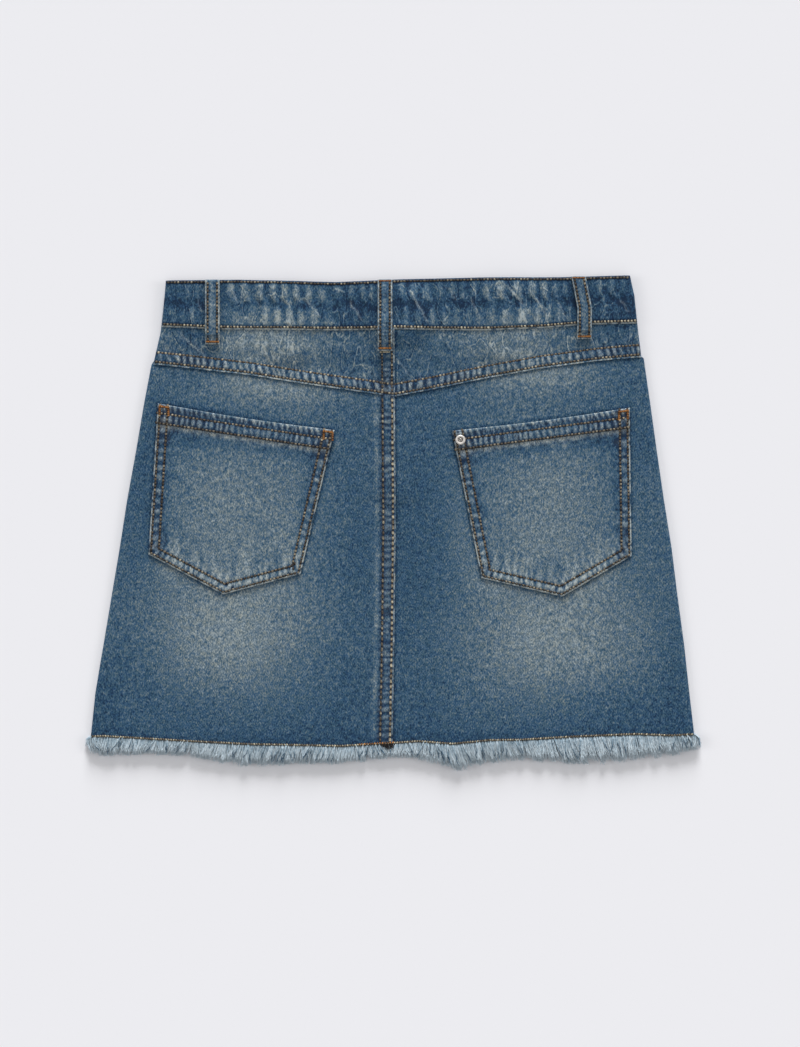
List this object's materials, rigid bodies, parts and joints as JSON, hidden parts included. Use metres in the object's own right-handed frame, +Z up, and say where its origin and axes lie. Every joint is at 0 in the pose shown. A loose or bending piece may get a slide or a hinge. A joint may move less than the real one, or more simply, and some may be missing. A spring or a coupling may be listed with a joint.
{
  "type": "denim skirt",
  "caption": "Short flared denim skirt laid flat, back upwards, with a gathered waistband, belt loops, patch pockets and a frayed hem.",
  "frame": {"origin": "middle of the bounding box, on the surface that the skirt lies on", "axes": "+Z up from that surface, +Y from hem to waist, +X towards the wearer's right, because the back lies upwards"},
  "size_m": [0.4135, 0.3326, 0.0122],
  "materials": {
    "denim": "faded blue twill with tan stitching",
    "frayed_edge": "loose pale blue and white threads",
    "metal": "worn silver",
    "zip_tape": "matt dark blue tape"
  },
  "bodies": {
    "root": {"back_left": "denim", "back_right": "denim", "yoke_left": "denim", "yoke_right": "denim", "front_left": "denim", "front_right": "denim", "waistband_back": "denim", "waistband_front_left": "denim", "waistband_front_right": "denim", "pocket_left": "denim", "pocket_right": "denim", "loop_back_left": "denim", "loop_back_centre": "denim", "loop_back_right": "denim", "loop_front_left": "denim", "loop_front_right": "denim", "fray_back_left": "frayed_edge", "fray_back_right": "frayed_edge", "fray_front_left": "frayed_edge", "fray_front_right": "frayed_edge", "rivet": "metal", "waist_button": "metal", "zip": "zip_tape"}
  },
  "joints": []
}
